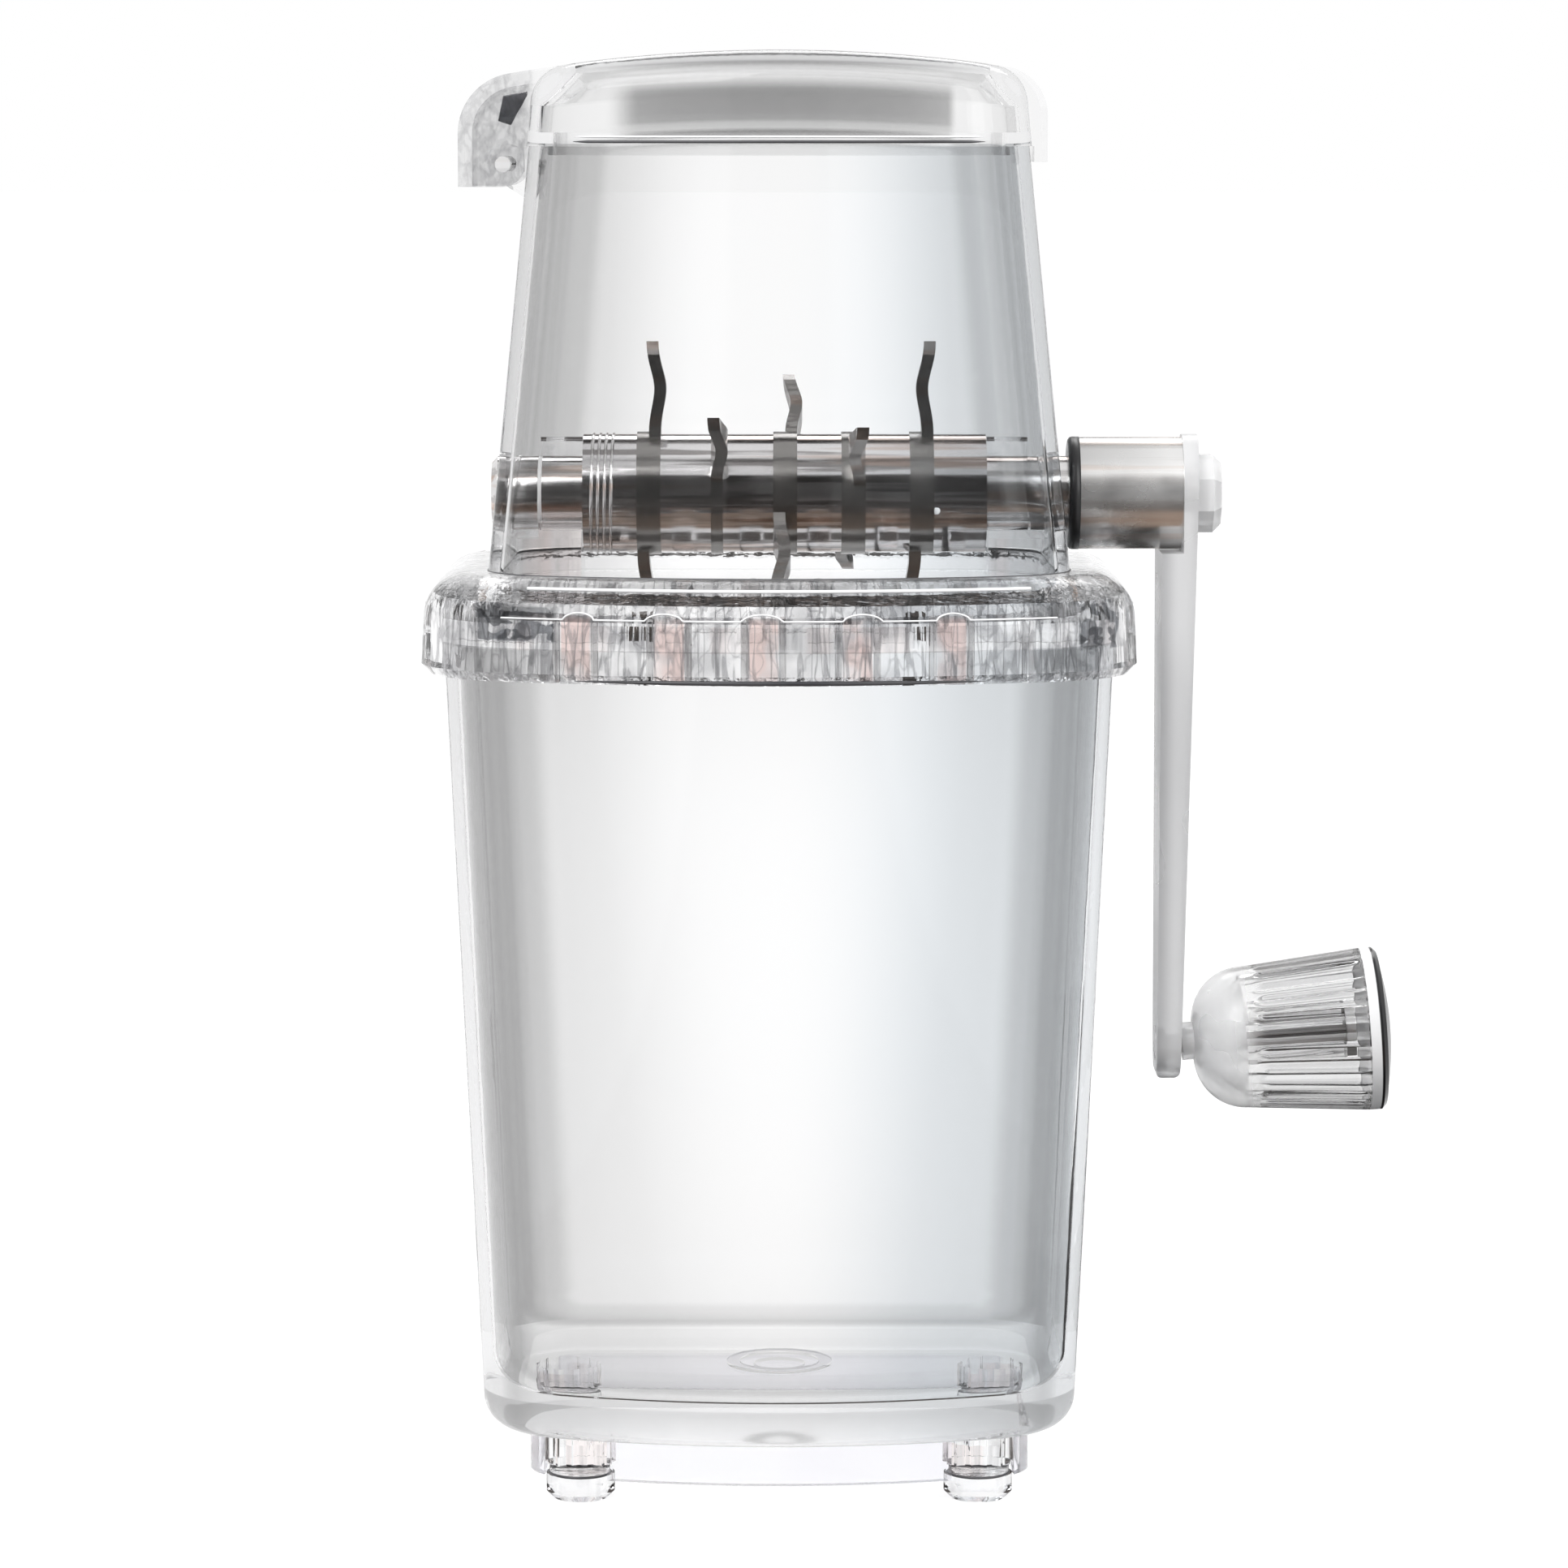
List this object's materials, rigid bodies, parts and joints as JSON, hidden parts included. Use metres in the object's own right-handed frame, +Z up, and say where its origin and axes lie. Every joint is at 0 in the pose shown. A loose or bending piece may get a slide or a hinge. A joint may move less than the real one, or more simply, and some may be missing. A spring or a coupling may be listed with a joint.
{
  "type": "ice shaver with crank",
  "caption": "Clear hand cranked ice shaver: lidded hopper over a comb, bladed rotor with side crank and bell knob, and a tapered catch container on small feet.",
  "frame": {"origin": "on the table, under the middle of the container between its sides and under the shaft", "axes": "+X along the shaft towards the crank, +Y towards the flat back, +Z up"},
  "size_m": [0.1628, 0.0924, 0.2401],
  "materials": {
    "clear_plastic": "clear moulded acrylic",
    "tinted_plastic": "cloudy moulded plastic",
    "frosted_plastic": "frosted moulded plastic",
    "soft_pad": "soft translucent pad",
    "black_plastic": "glossy moulded plastic",
    "polished_steel": "polished",
    "blade_steel": "stamped and ground",
    "satin_steel": "satin turned"
  },
  "bodies": {
    "base": {"container": "clear_plastic", "base_skirt": "tinted_plastic", "foot_front_left": "clear_plastic", "foot_front_right": "clear_plastic", "foot_rear_left": "clear_plastic", "foot_rear_right": "clear_plastic", "pad_front_left": "soft_pad", "pad_front_right": "soft_pad", "pad_rear_left": "soft_pad", "pad_rear_right": "soft_pad"},
    "head": {"collar": "clear_plastic", "comb": "clear_plastic", "hopper": "clear_plastic", "bearing_left": "clear_plastic", "bearing_right": "clear_plastic", "hinge_pin": "polished_steel"},
    "lid": {"lid": "clear_plastic"},
    "rotor": {"shaft": "polished_steel", "spacer_1": "clear_plastic", "spacer_2": "clear_plastic", "spacer_3": "clear_plastic", "spacer_4": "clear_plastic", "spacer_5": "clear_plastic", "spacer_6": "clear_plastic", "blade_1_low": "blade_steel", "blade_1_high": "blade_steel", "blade_2": "blade_steel", "blade_3_low": "blade_steel", "blade_3_high": "blade_steel", "blade_4_low": "blade_steel", "blade_4_high": "blade_steel", "blade_5_low": "blade_steel", "blade_5_high": "blade_steel", "crank_hub": "satin_steel", "crank_arm": "frosted_plastic", "crank_nut": "frosted_plastic", "knob_pin": "polished_steel"},
    "knob": {"knob_body": "clear_plastic", "knob_ring": "frosted_plastic", "knob_cap": "black_plastic"}
  },
  "joints": [
    {"name": "head_lift", "type": "slide", "parent": "base", "child": "head", "axis": [0, 0, 1], "range_m": [0, 0.06]},
    {"name": "lid_hinge", "type": "hinge", "parent": "head", "child": "lid", "pos_m": [-0.04565, 0, 0.2215], "axis": [0, -1, 0], "range_deg": [0, 80]},
    {"name": "crank_turn", "type": "hinge", "parent": "head", "child": "rotor", "pos_m": [0, 0, 0.1665], "axis": [1, 0, 0], "continuous": true},
    {"name": "knob_spin", "type": "hinge", "parent": "rotor", "child": "knob", "pos_m": [0.0679, 0, 0.0731], "axis": [0.9976, 0, 0.0698], "continuous": true}
  ]
}
